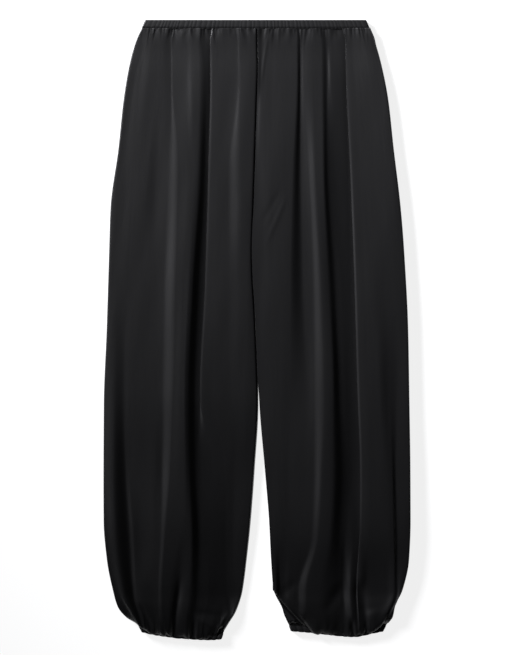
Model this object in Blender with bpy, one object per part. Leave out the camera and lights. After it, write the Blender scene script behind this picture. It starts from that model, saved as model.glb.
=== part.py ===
"""Black satin balloon trousers laid flat on a table, front side up.

X runs across the garment (the wearer's left leg is at +X), Y runs up its length to the waist, and Z is
up from the table.  The origin is under the middle of the garment.  Each leg is a front and a back panel,
seamed at both sides into a flattened tube.  The back panel lies on the table.  The front panel is a sheet
carried by named fold lines, which run from the elastic waistband down to the elastic hem casing.
"""

import math

import bpy
import numpy as np

MM = 0.001
SHARP = math.radians(50)   # cut edges of the cloth are shaded sharp, its folds are shaded smooth

# ---- driving sizes, in millimetres -------------------------------------------------------------------

LENGTH = 1000.0            # from the top of the waistband to the lowest hem
WALL = 1.3                 # cloth of the leg panels
CASING_WALL = 2.4          # two gathered layers of cloth with an elastic between them
SEAM_GAP = 0.3             # clearance between neighbouring pieces
CUFF_GAP = 0.5             # clearance along the slanted hem, whose facets differ on its two sides
CENTRE_X = 0.8             # the middle of the outline, in the tables' own measure
BAND_DEPTH = 15.5          # waistband casing, top edge to stitch line
BAND_HEIGHT = 11.0         # height of the flattened waistband above the table
CUFF_DEPTH = 12.0          # hem casing, stitch line to lower edge
CUFF_HEIGHT = 11.0         # height of a flattened hem casing above the table
SEAM_HEIGHT = 4.3          # the side seams lie this high, between the front and the back panel
CLEARANCE = 3.4            # the deepest fold of a front panel stays this high
ROLL = 1.3                 # how far the cloth leans in where it rolls over a side edge
ROLL_RISE = 0.62           # share of the way up to the first fold line that it has risen there
BACK_ROLL = (0.5, 2.6)     # the back panel's edge stands in this far at mid height and at the table
BACK_RISE = 0.45           # share of its edge height that the back panel has risen at mid height
BACK_COLUMNS = 6           # columns of points across the flat of a back panel
SEAM_LIFT = 0.35           # height of the centre front seam as a share of the crown
CROTCH_DROP = 371.0        # where the two legs part, below the top of the waistband
CROTCH_TURN = 30.0         # length over which the inner edge turns down from the front to the back
HEM_DROP = 972.0           # where the hem casing starts at the outer side
HEM_TURN = 72.0            # length over which the rows bend into the slant of the hem
GATHER = 1.2               # height of a waist gather, either way
CUFF_GATHER = 1.5          # height of a hem gather, either way
GATHER_LENGTH = 75.0       # the waist gathers have run out this far below the waistband
CUFF_GATHER_LENGTH = 85.0  # the hem gathers start this far above the hem
SQUEEZE_POWER = 5          # the outer folds are drawn in at the waist, the inner ones hardly at all
COLUMN_PITCH = 7.4         # cloth between two columns of points on a front panel
BAND_GATHERS = 40          # ruched gathers across the front of the waistband
CUFF_GATHERS = 14          # and across the front of a hem casing
BAND_GATHER = 1.3          # height of one, from trough to crest
CUFF_CASING_GATHER = 1.8
CASING_BACK_COLUMNS = 9    # columns of points across the flat back of a casing

# Places along a leg, as drops below the top of the waistband.
STATIONS = {"waist": 15.8, "yoke": 89.0, "hip": 239.0, "thigh": 429.0, "knee": 640.0,
            "calf": 830.0, "ankle": 930.0, "hem": HEM_DROP}

# Height of the tallest folds above the table at those places.
CROWN = {"waist": 10.4, "yoke": 13.0, "hip": 17.0, "thigh": 21.0, "knee": 27.0,
         "calf": 34.0, "ankle": 30.0, "hem": 12.0}

# Rows of points: close together at the gathers, wide apart along the smooth thigh.
DROPS = (15.8, 28.0, 46.0, 70.0, 105.0, 165.0, 239.0, 320.0, 371.0, 402.0, 470.0, 555.0,
         640.0, 725.0, 790.0, 840.0, 880.0, 910.0, 935.0, 955.0, HEM_DROP)

# Side outlines of each leg: drop, x of the outer edge, x of the inner edge.
RIGHT_OUTLINE = (
    (15.8, -185.7, 1.3), (33.0, -194.4, 1.4), (71.7, -205.2, 2.0), (129.6, -214.8, -0.2),
    (206.9, -222.9, -3.0), (303.5, -235.6, -5.5), (371.0, -237.8, -7.2), (500.0, -241.7, -1.0),
    (619.0, -246.1, 2.9), (725.0, -246.4, -3.1), (806.0, -245.9, -9.2), (870.0, -240.6, -15.9),
    (918.0, -231.2, -22.5), (944.0, -223.7, -32.5), (962.0, -210.0, -45.5), (972.0, -195.0, -52.0),
)
LEFT_OUTLINE = (
    (15.8, 182.4, 1.7), (33.0, 190.3, 1.8), (71.7, 201.4, 2.4), (129.6, 212.6, 0.2),
    (206.9, 221.1, -2.6), (303.5, 232.4, -5.1), (371.0, 237.8, -5.8), (500.0, 244.4, 0.6),
    (619.0, 246.4, 4.5), (725.0, 247.8, 13.4), (806.0, 248.0, 20.0), (870.0, 245.6, 23.3),
    (918.0, 235.4, 27.2), (944.0, 223.5, 40.0), (962.0, 219.5, 46.5), (972.0, 213.0, 51.0),
)

# How far the hem hangs below HEM_DROP: share of the way from the outer to the inner edge, extra drop.
RIGHT_HEM = ((0.0, 0.0), (0.2, 7.0), (0.55, 13.5), (0.85, 15.5), (1.0, 13.0))
LEFT_HEM = ((0.0, 0.0), (0.15, 4.5), (0.35, 10.5), (0.5, 9.0), (0.8, 3.5), (1.0, 1.0))

# Fold lines of the front panels, from the outer edge to the inner edge.
# x at the yoke, hip, thigh, knee, calf, ankle and hem, then the height as a share of the crown
# in the upper (yoke, hip), middle (thigh, knee) and lower (calf, ankle) parts of the leg.
RIGHT_FOLDS = {
    "outer shoulder": ((-191, -210, -219, -230, -233, -214, -184), (0.60, 0.65, 0.80)),
    "outer hollow": ((-183, -202, -210, -220, -213, -194, -178), (0.75, 0.72, 0.30)),
    "outer flat": ((-177, -192, -198, -205, -198, -184, -173), (0.80, 0.80, 0.72)),
    "first ridge": ((-171, -183, -188, -189, -186, -176, -167), (0.95, 0.82, 0.78)),
    "first hollow": ((-144, -166, -172, -172, -172, -167, -161), (0.50, 0.62, 0.72)),
    "main ridge": ((-136, -134, -140, -147, -156, -157, -152), (1.00, 1.00, 1.00)),
    "main flat": ((-112, -114, -120, -127, -130, -131, -132), (0.84, 0.84, 0.84)),
    "dark hollow": ((-88, -88, -100, -105, -99, -105, -116), (0.42, 0.36, 0.28)),
    "lip foot": ((-78.5, -81.5, -86.5, -94, -86, -92, -101), (0.20, 0.16, 0.34)),
    "lip": ((-74, -78, -82, -85, -74, -79, -89), (0.82, 0.78, 0.42)),
    "lip flat": ((-53, -58, -59, -58, -57, -65, -77), (0.74, 0.74, 0.56)),
    "inner ridge": ((-29, -36, -35, -33, -39, -50, -68), (0.96, 0.92, 0.80)),
    "inner shoulder": ((-9, -13, -17, -12, -25, -37, -60), (0.78, 0.74, 0.80)),
}
LEFT_FOLDS = {
    "outer shoulder": ((196, 214, 231, 237, 239, 226, 204), (0.66, 0.62, 0.66)),
    "outer hollow": ((190, 208, 222, 223, 228, 218, 197), (0.78, 0.62, 0.40)),
    "outer ridge": ((182, 199, 212, 213, 219, 211, 192), (0.82, 0.80, 0.86)),
    "outer flat": ((168, 183, 192, 189, 192, 190, 184), (0.86, 0.82, 0.80)),
    "lip": ((145, 150.5, 157.5, 165, 166, 166, 170), (0.94, 0.84, 0.88)),
    "lip foot": ((140.5, 146, 152, 157, 160, 160, 165), (0.34, 0.26, 0.32)),
    "low ridge": ((118, 126, 138, 143, 150, 147, 154), (0.56, 0.40, 0.66)),
    "dark hollow": ((108.5, 112, 123, 130, 128, 125, 140), (0.12, 0.20, 0.14)),
    "main slope": ((92, 100, 109, 114, 109, 99, 122), (0.82, 0.74, 0.66)),
    "main ridge": ((74, 86, 97, 100, 92, 76, 108), (1.00, 1.00, 1.00)),
    "second hollow": ((68, 64, 66, 67, 66, 62, 93), (0.36, 0.46, 0.62)),
    "centre flat": ((43, 44, 47, 47, 52, 52, 80), (0.82, 0.76, 0.74)),
    "centre hollow": ((22, 25, 29, 31, 40, 41, 68), (0.70, 0.68, 0.68)),
    "centre lip": ((7, 3, 7, 16, 31, 35, 60), (0.92, 0.84, 0.76)),
}

SATIN = {"colour": (0.018, 0.018, 0.020, 1.0), "roughness": 0.38}
CASING = {"colour": (0.016, 0.016, 0.018, 1.0), "roughness": 0.45}


# ---- curves ------------------------------------------------------------------------------------------

def smooth(knots, values, places):
    """Read a cubic through (knots, values) at the given places.  It never overshoots its own values."""
    knots = np.asarray(knots, float)
    values = np.asarray(values, float)
    gaps = np.diff(knots).reshape((-1,) + (1,) * (values.ndim - 1))
    rises = np.diff(values, axis=0) / gaps
    slopes = np.concatenate([rises[:1], (rises[1:] + rises[:-1]) / 2, rises[-1:]])
    product = rises[1:] * rises[:-1]
    total = np.where(product > 0, rises[1:] + rises[:-1], 1.0)
    slopes[1:-1] = np.where(product > 0, 2 * product / total, 0.0)
    left = np.clip(np.searchsorted(knots, places, side="right") - 1, 0, len(knots) - 2)
    width = gaps[left]
    share = (np.asarray(places) - knots[left]).reshape(width.shape) / width
    share = np.clip(share, 0.0, 1.0)
    rising = share * share * (3 - 2 * share)
    return (values[left] * (1 - rising) + values[left + 1] * rising
            + width * share * (1 - share) * ((1 - share) * slopes[left] - share * slopes[left + 1]))


def ease(start, length, places):
    """0 up to start, 1 from start + length, and a soft step between them."""
    share = np.clip((np.asarray(places, float) - start) / length, 0.0, 1.0)
    return share * share * (3 - 2 * share)


def uneven(number):
    """Share of its full height that each gather reaches."""
    return 0.77 + 0.23 * np.sin(2.4 * number)


def station_drops():
    return np.array(list(STATIONS.values()))


def crown(drops):
    return smooth(station_drops(), list(CROWN.values()), drops)


# ---- panels ------------------------------------------------------------------------------------------

def edges(outline, drops):
    """x of the outer and of the inner edge at each drop."""
    table = np.array(outline)
    return smooth(table[:, 0], table[:, 1], drops), smooth(table[:, 0], table[:, 2], drops)


def fold_lines(outline, folds, drops):
    """Arrays [line, row] of x and z: outer seam and its roll, the fold lines, inner roll and seam."""
    outer, inner = edges(outline, drops)
    towards = np.sign(inner[0] - outer[0])
    top = crown(drops)
    below = ease(CROTCH_DROP, CROTCH_TURN, drops)
    places = station_drops()
    yoke = STATIONS["yoke"]
    squeeze = ease(yoke, STATIONS["waist"] - yoke, drops)
    outer_yoke, inner_yoke = edges(outline, [yoke, yoke])
    lines_x, lines_z = [], []
    for where, lift in folds.values():
        upper, middle, lower = lift
        share = (where[0] - outer_yoke[0]) / (inner_yoke[0] - outer_yoke[0])
        at_waist = where[0] + (outer[0] - outer_yoke[0]) * (1 - share) ** SQUEEZE_POWER
        x = smooth(places[1:], where, np.maximum(drops, yoke))
        lines_x.append(x + (at_waist - where[0]) * squeeze)
        share_up = smooth(places, (0.9, upper, upper, middle, middle, lower, lower, 0.9), drops)
        lines_z.append(CLEARANCE + share_up * (top - CLEARANCE))
    first, last = lines_z[0], lines_z[-1]
    seam = np.full_like(top, SEAM_HEIGHT)
    centre_seam = CLEARANCE + SEAM_LIFT * (top - CLEARANCE)
    inner_seam = seam * below + np.minimum(centre_seam, last) * (1 - below)
    lines_x = [outer, outer + towards * ROLL] + lines_x + [inner - towards * ROLL, inner]
    lines_z = ([seam, seam + ROLL_RISE * (first - seam)] + lines_z
               + [inner_seam + ROLL_RISE * (last - inner_seam), inner_seam])
    return np.array(lines_x), np.array(lines_z)


def columns_between(knots, pitch):
    """The knots, with evenly spaced columns added between those that lie more than a pitch apart."""
    columns = []
    for start, stop in zip(knots[:-1], knots[1:]):
        count = max(1, round((stop - start) / pitch))
        columns.extend(np.linspace(start, stop, count, endpoint=False))
    return np.array(columns + [knots[-1]])


def hem_slant(hem, share, drops):
    """Extra drop of each row, so that the rows bend into the line of the hem.  share is [column, row]."""
    table = np.array(hem)
    extra = smooth(table[:, 0], table[:, 1], np.clip(share, 0, 1).ravel()).reshape(share.shape)
    return extra * ease(HEM_DROP - HEM_TURN, HEM_TURN, drops)


def front_panel(outline, folds, hem):
    """Points [column, row, xyz] of the outer face of a front panel."""
    drops = np.array(DROPS)
    lines_x, lines_z = fold_lines(outline, folds, drops)
    knee = DROPS.index(STATIONS["knee"])
    steps = np.hypot(np.diff(lines_x[:, knee]), np.diff(lines_z[:, knee]))
    knots = np.concatenate([[0.0], np.cumsum(steps)])
    columns = columns_between(knots, COLUMN_PITCH)
    x = smooth(knots, lines_x, columns)
    z = smooth(knots, lines_z, columns)
    outer, inner = edges(outline, drops)
    share = (x - outer) / (inner - outer)
    number = np.arange(len(columns))[:, None]
    beside = np.clip(np.minimum(number, len(columns) - 1 - number) - 1, 0, 1)
    side = np.where(number % 2 == 0, 1.0, -1.0) * beside * uneven(number)
    waist = 1 - ease(STATIONS["waist"], GATHER_LENGTH, drops)
    cuff = ease(HEM_DROP - CUFF_GATHER_LENGTH, CUFF_GATHER_LENGTH, drops)
    z = z + side * (GATHER * waist + CUFF_GATHER * cuff)
    y = -(drops + hem_slant(hem, share, drops))
    return np.stack([x, y, z], axis=-1)


def back_panel(outline, hem):
    """Points [column, row, xyz] of the outer face of a back panel, which lies on the table."""
    drops = np.array(DROPS)
    outer, inner = edges(outline, drops)
    towards = np.sign(inner[0] - outer[0])
    below = ease(CROTCH_DROP, CROTCH_TURN, drops)
    top = SEAM_HEIGHT - SEAM_GAP
    middle, foot = BACK_ROLL
    flat = [outer + (inner - outer) * share for share in np.linspace(0.12, 0.88, BACK_COLUMNS)]
    joined = (foot / 2) * (1 - below)
    x = np.array([outer, outer + towards * middle, outer + towards * foot, *flat,
                  inner - towards * foot, inner - towards * (middle * below + joined), inner])
    level = np.zeros_like(drops)
    z = np.array([level + top, level + BACK_RISE * top, *[level] * (BACK_COLUMNS + 2),
                  BACK_RISE * top * below, top * below])
    share = (x - outer) / (inner - outer)
    y = -(drops + hem_slant(hem, share, drops))
    return np.stack([x, y, z], axis=-1)


# ---- casings -----------------------------------------------------------------------------------------

def casing(rows, height, gathers, gather_height, slant):
    """Points [column, row, xyz] round a flattened casing.

    rows holds (drop, x of one end, x of the other end, how far the cloth stands in from the full height).
    slant(x) is the extra drop of the casing at x.
    """
    count = 2 * gathers
    share = np.linspace(0.0, 1.0, count + 1)[1:-1]
    number = np.arange(count - 1)
    wave = np.where(number % 2 == 0, -0.5, 0.5) * gather_height * uneven(number)
    turns = np.radians([30.0, 60.0, 90.0])
    back = np.linspace(1.0, 0.0, CASING_BACK_COLUMNS)
    points = []
    for drop, start, stop, inset in rows:
        middle = height / 2
        half = middle - inset
        towards = np.sign(stop - start)
        x0, x1 = start + towards * half, stop - towards * half
        front_x = np.concatenate([x0 - towards * half * np.cos(turns), x0 + (x1 - x0) * share,
                                  x1 + towards * half * np.cos(turns[::-1])])
        front_z = np.concatenate([middle + half * np.sin(turns), middle + half + wave,
                                  middle + half * np.sin(turns[::-1])])
        back_x = np.concatenate([[stop], x1 + towards * half * np.cos(turns[:2]), x0 + (x1 - x0) * back,
                                 x0 - towards * half * np.cos(turns[1::-1]), [start]])
        back_z = np.concatenate([[middle], middle - half * np.sin(turns[:2]), 0 * back,
                                 middle - half * np.sin(turns[1::-1]), [middle]])
        x = np.concatenate([front_x, back_x])
        z = np.concatenate([front_z, back_z])
        points.append(np.stack([x, -(drop + slant(x)), z], axis=-1))
    return np.stack(points, axis=1)


# ---- objects -----------------------------------------------------------------------------------------

def satin(name, colour, roughness):
    material = bpy.data.materials.new(name)
    material.use_nodes = True
    shader = material.node_tree.nodes["Principled BSDF"]
    shader.inputs["Base Color"].default_value = colour
    shader.inputs["Roughness"].default_value = roughness
    shader.inputs["Metallic"].default_value = 0.0
    return material


def inner_face(points, wall, closed, below):
    """The inner side of a wall: the outer points moved in by the wall, square to the cloth.

    At a cut edge the move stays in the plane of the seam, so that neighbouring pieces keep their gap.
    below is 0 in the rows where the two legs are joined and 1 where each leg is a tube of its own.
    """
    if closed:
        around = np.roll(points, -1, axis=0) - np.roll(points, 1, axis=0)
    else:
        around = np.gradient(points, axis=0)
    normal = np.cross(around, np.gradient(points, axis=1))
    normal[:, [0, -1], 1] = 0.0
    if not closed:
        normal[0, :, 2] = 0.0
        normal[-1, :, 0] *= below
        normal[-1, :, 2] *= 1 - below
    normal /= np.linalg.norm(normal, axis=-1, keepdims=True)
    return points + wall * normal


def sew(name, points, wall, finish, closed=False, turned=False):
    """Make one piece: a closed wall whose outer face runs through the points [column, row, xyz]."""
    drops = -points[-1, :, 1]
    below = ease(CROTCH_DROP, CROTCH_TURN, drops)
    inner = inner_face(points, -wall if turned else wall, closed, below)
    columns, rows = points.shape[:2]
    place = (np.stack([points, inner]) - np.array([CENTRE_X, -LENGTH / 2, 0.0])) * MM
    number = np.arange(2 * columns * rows).reshape(2, columns, rows)
    if closed:
        number = np.concatenate([number, number[:, :1]], axis=1)
    outer, inner = number

    def skin(grid):
        return [grid[:-1, :-1], grid[:-1, 1:], grid[1:, 1:], grid[1:, :-1]]

    sheets = [skin(outer), skin(inner)[::-1]]
    sheets.append(skin(np.stack([inner[:, 0], outer[:, 0]], axis=1)))
    sheets.append(skin(np.stack([outer[:, -1], inner[:, -1]], axis=1)))
    if not closed:
        sheets.append(skin(np.stack([inner[0], outer[0]], axis=0)))
        sheets.append(skin(np.stack([outer[-1], inner[-1]], axis=0)))
    faces = np.concatenate([np.stack([corner.ravel() for corner in sheet], axis=-1) for sheet in sheets])
    if turned:
        faces = faces[:, ::-1]
    mesh = bpy.data.meshes.new(name)
    mesh.from_pydata(place.reshape(-1, 3).tolist(), [], faces.tolist())
    mesh.shade_smooth()
    mesh.set_sharp_from_angle(angle=SHARP)
    mesh.materials.append(satin(name, **finish))
    piece = bpy.data.objects.new(name, mesh)
    bpy.context.scene.collection.objects.link(piece)
    return piece


def clear_scene():
    for item in list(bpy.data.objects):
        bpy.data.objects.remove(item, do_unlink=True)


def make_legs():
    sew("front_right_leg", front_panel(RIGHT_OUTLINE, RIGHT_FOLDS, RIGHT_HEM), WALL, SATIN)
    sew("front_left_leg", front_panel(LEFT_OUTLINE, LEFT_FOLDS, LEFT_HEM), WALL, SATIN, turned=True)
    sew("back_right_leg", back_panel(RIGHT_OUTLINE, RIGHT_HEM), WALL, SATIN, turned=True)
    sew("back_left_leg", back_panel(LEFT_OUTLINE, LEFT_HEM), WALL, SATIN)


def make_waistband():
    rows = ((0.0, -179.5, 177.0, 0.9), (4.0, -182.6, 179.5, 0.0), (BAND_DEPTH, -186.2, 182.8, 0.3))
    points = casing(rows, BAND_HEIGHT, BAND_GATHERS, BAND_GATHER, lambda x: 0 * x)
    sew("waistband", points, CASING_WALL, CASING, closed=True)


def make_cuff(name, outline, hem, ends_above, ends_below, turned):
    table = np.array(hem)
    outer, inner = outline[-1][1:]
    start = HEM_DROP + CUFF_GAP

    def slant(x):
        return smooth(table[:, 0], table[:, 1], np.clip((x - outer) / (inner - outer), 0, 1))

    rows = ((start, *ends_above, 0.4), (start + CUFF_DEPTH / 2, *ends_above, 0.0),
            (start + CUFF_DEPTH, *ends_below, 0.6))
    points = casing(rows, CUFF_HEIGHT, CUFF_GATHERS, CUFF_CASING_GATHER, slant)
    sew(name, points, CASING_WALL, CASING, closed=True, turned=turned)


def main():
    clear_scene()
    make_legs()
    make_waistband()
    make_cuff("cuff_right", RIGHT_OUTLINE, RIGHT_HEM, (-193.0, -52.0), (-184.5, -56.0), turned=False)
    make_cuff("cuff_left", LEFT_OUTLINE, LEFT_HEM, (211.0, 51.0), (203.5, 55.5), turned=True)


main()
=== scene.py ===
# %% [markdown]
# # Satin balloon trousers, laid flat
# A pair of full-length black satin trousers lies front side up on a pale floor. Long folds run from an
# elastic waistband to two elastic hems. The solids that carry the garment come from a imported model, and
# this lesson dresses them: every piece of cloth is a surface worked out with numpy, a little finer and a
# little softer than the solid that it stands for, and finished with a satin material.

# %% Load the solid pieces
import math

import bpy
import numpy as np
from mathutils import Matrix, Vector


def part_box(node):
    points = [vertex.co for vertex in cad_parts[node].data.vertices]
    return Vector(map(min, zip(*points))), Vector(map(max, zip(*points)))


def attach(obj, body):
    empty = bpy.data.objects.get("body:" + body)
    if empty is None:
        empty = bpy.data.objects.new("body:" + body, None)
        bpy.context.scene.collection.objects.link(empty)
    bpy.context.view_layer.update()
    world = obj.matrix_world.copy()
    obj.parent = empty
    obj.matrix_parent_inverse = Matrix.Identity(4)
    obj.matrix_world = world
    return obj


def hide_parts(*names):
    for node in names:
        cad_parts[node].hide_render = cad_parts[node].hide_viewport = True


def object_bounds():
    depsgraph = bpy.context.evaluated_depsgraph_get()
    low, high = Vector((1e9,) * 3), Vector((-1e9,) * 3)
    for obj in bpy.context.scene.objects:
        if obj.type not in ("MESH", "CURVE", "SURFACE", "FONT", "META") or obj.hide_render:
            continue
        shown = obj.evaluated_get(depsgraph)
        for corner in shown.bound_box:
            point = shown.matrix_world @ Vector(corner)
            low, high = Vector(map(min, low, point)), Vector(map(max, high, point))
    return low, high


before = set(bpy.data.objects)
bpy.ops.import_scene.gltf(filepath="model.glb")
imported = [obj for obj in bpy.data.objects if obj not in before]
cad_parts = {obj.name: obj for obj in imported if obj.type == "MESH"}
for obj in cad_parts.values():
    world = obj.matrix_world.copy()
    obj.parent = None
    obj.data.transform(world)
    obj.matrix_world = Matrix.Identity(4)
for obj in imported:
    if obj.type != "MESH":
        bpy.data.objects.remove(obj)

cad_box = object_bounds()
low, high = (np.array(corner) for corner in cad_box)
print("solids:", sorted(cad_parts))
print("garment measures", np.round((high - low) * 1000, 1), "mm")

# %% [markdown]
# ## Measures
# All shapes below are worked out in millimetres, because that is how cloth is cut. A point on the garment
# is given by its x, with the wearer's left at +x, and by its *drop*, the distance below the top of the
# waistband. Only the last step, which fills the mesh, turns them into metres in the model's own frame.

# %% Units and the places along a leg
MM = 0.001
LENGTH = (high[1] - low[1]) / MM          # from the waistband's top to the lowest hem
TOP_Y = high[1] / MM                      # y of the waistband's top edge
BAND_DEPTH = 15.5
HEM_DROP = 972.0                          # where the leg panels run into the hem casings
HEM_TURN = 72.0                           # length of leg over which the rows bend into the hem's slant
CUFF_DEPTH = 12.0
PUCKER_ROOM = {"waistband": 0.6, "cuff_left": 0.9}


def casing_height(node):
    """Height of a solid casing in millimetres, less the room that its puckers need."""
    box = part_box(node)
    return (box[1].z - box[0].z) / MM - PUCKER_ROOM[node]


BAND_HEIGHT = casing_height("waistband")
CUFF_HEIGHT = casing_height("cuff_left")
print("length", round(LENGTH, 1), "waistband stands", round(BAND_HEIGHT, 1), "mm high")

# %% [markdown]
# ## Curves through a few named values
# A fold is known at a few places only, so everything in between is read from a cubic. The usual cubic
# swings past its own points, and cloth drawn with it would show ridges that are not there. Limiting each
# slope to the harmonic mean of its two neighbours keeps the curve between the values that it passes.


# %% Monotone cubic and soft step
def smooth(knots, values, places):
    """Cubic Hermite curve through (knots, values), with the harmonic mean of neighbouring slopes."""
    knots = np.asarray(knots, float)
    values = np.asarray(values, float)
    gaps = np.diff(knots).reshape((-1,) + (1,) * (values.ndim - 1))
    rises = np.diff(values, axis=0) / gaps
    slopes = np.concatenate([rises[:1], (rises[1:] + rises[:-1]) / 2, rises[-1:]])
    product = rises[1:] * rises[:-1]
    total = np.where(product > 0, rises[1:] + rises[:-1], 1.0)
    slopes[1:-1] = np.where(product > 0, 2 * product / total, 0.0)
    left = np.clip(np.searchsorted(knots, places, side="right") - 1, 0, len(knots) - 2)
    width = gaps[left]
    share = np.clip((np.asarray(places) - knots[left]).reshape(width.shape) / width, 0.0, 1.0)
    rising = share * share * (3 - 2 * share)
    return (values[left] * (1 - rising) + values[left + 1] * rising
            + width * share * (1 - share) * ((1 - share) * slopes[left] - share * slopes[left + 1]))


def ease(start, length, places):
    """3s^2 - 2s^3 of s, the share of the length that is past the start, kept between 0 and 1."""
    share = np.clip((np.asarray(places, float) - start) / length, 0.0, 1.0)
    return share * share * (3 - 2 * share)


def hump(distance):
    """Bell curve exp(-d^2), the section of a soft crease."""
    return np.exp(-distance * distance)


def plateau(places, start, rise, stop, fall):
    """A soft step up from 0 to 1 over the rise after the start, and back over the fall after the stop."""
    return ease(start, rise, places) * (1 - ease(stop, fall, places))


print("a soft step passes", ease(0.0, 1.0, [0.25, 0.5, 0.75]), "at its quarters")

# %% [markdown]
# ## The outline
# Laid flat, each leg has an outer edge, which is the side seam, and an inner edge. Down to the crotch the
# inner edge is the centre front seam, where the two legs are sewn together. Below it the legs only touch,
# and from the knee down they part. The rows are the drop, x of the outer edge and x of the inner edge.

# %% Side outlines, in millimetres
CENTRE_X = 0.8
CROTCH_DROP = 371.0
RIGHT_OUTLINE = (
    (13.0, -185.0, 1.4), (33.0, -194.4, 1.4), (71.7, -205.2, 2.2), (129.6, -214.8, 0.6),
    (206.9, -222.9, -1.6), (303.5, -235.6, -4.6), (371.0, -237.8, -6.6), (500.0, -241.7, -0.8),
    (619.0, -246.1, 2.9), (725.0, -246.4, -3.1), (806.0, -245.9, -9.2), (870.0, -240.6, -15.9),
    (918.0, -231.2, -22.5), (944.0, -223.7, -32.5), (962.0, -210.0, -45.5), (972.0, -195.0, -52.0),
)
LEFT_OUTLINE = (
    (13.0, 182.0, 1.4), (33.0, 190.3, 1.4), (71.7, 201.4, 2.2), (129.6, 212.6, 0.6),
    (206.9, 221.1, -1.6), (303.5, 232.4, -4.6), (371.0, 237.8, -6.2), (500.0, 244.4, 0.2),
    (619.0, 246.4, 4.5), (725.0, 247.8, 13.4), (806.0, 248.0, 20.0), (870.0, 245.6, 23.3),
    (918.0, 235.4, 27.2), (944.0, 223.5, 40.0), (962.0, 219.5, 46.5), (972.0, 213.0, 51.0),
)
# How far the hem hangs below HEM_DROP: share of the way from the outer to the inner edge, extra drop.
RIGHT_HEM = ((0.0, 0.0), (0.2, 7.0), (0.55, 13.5), (0.85, 15.5), (1.0, 13.0))
LEFT_HEM = ((0.0, 0.0), (0.15, 4.5), (0.35, 10.5), (0.5, 9.0), (0.8, 3.5), (1.0, 1.0))


def edges(outline, drops):
    """x of the outer and of the inner edge at each drop."""
    table = np.array(outline)
    return smooth(table[:, 0], table[:, 1], drops), smooth(table[:, 0], table[:, 2], drops)


print("outlines known at", len(RIGHT_OUTLINE), "and", len(LEFT_OUTLINE), "drops")

# %% [markdown]
# ## The folds
# Long folds give these trousers their look, and they are not waves but steps. Seen from the wearer's
# right, the cloth lies almost flat, drops over a steep edge into a hollow, and climbs back slowly to the
# next ridge, or starts again at a *lip*, where a pressed fold lies over its neighbour. Each line that
# shapes a fold runs down the leg. It is listed from the outer to the inner edge, first with its x at the
# nine places of PLACES, then with its height above or below the leg's level there, in millimetres. A lip
# whose foot lies further in than the lip itself makes an overhang. Simulated cloth falls into folds of
# its own, so these are placed one by one.

# %% Fold lines of the wearer's right leg
PLACES = {"top": 30, "yoke": 89, "hip": 239, "thigh": 429, "knee": 600, "shin": 730, "calf": 830,
          "ankle": 920, "hem": 972}

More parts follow.
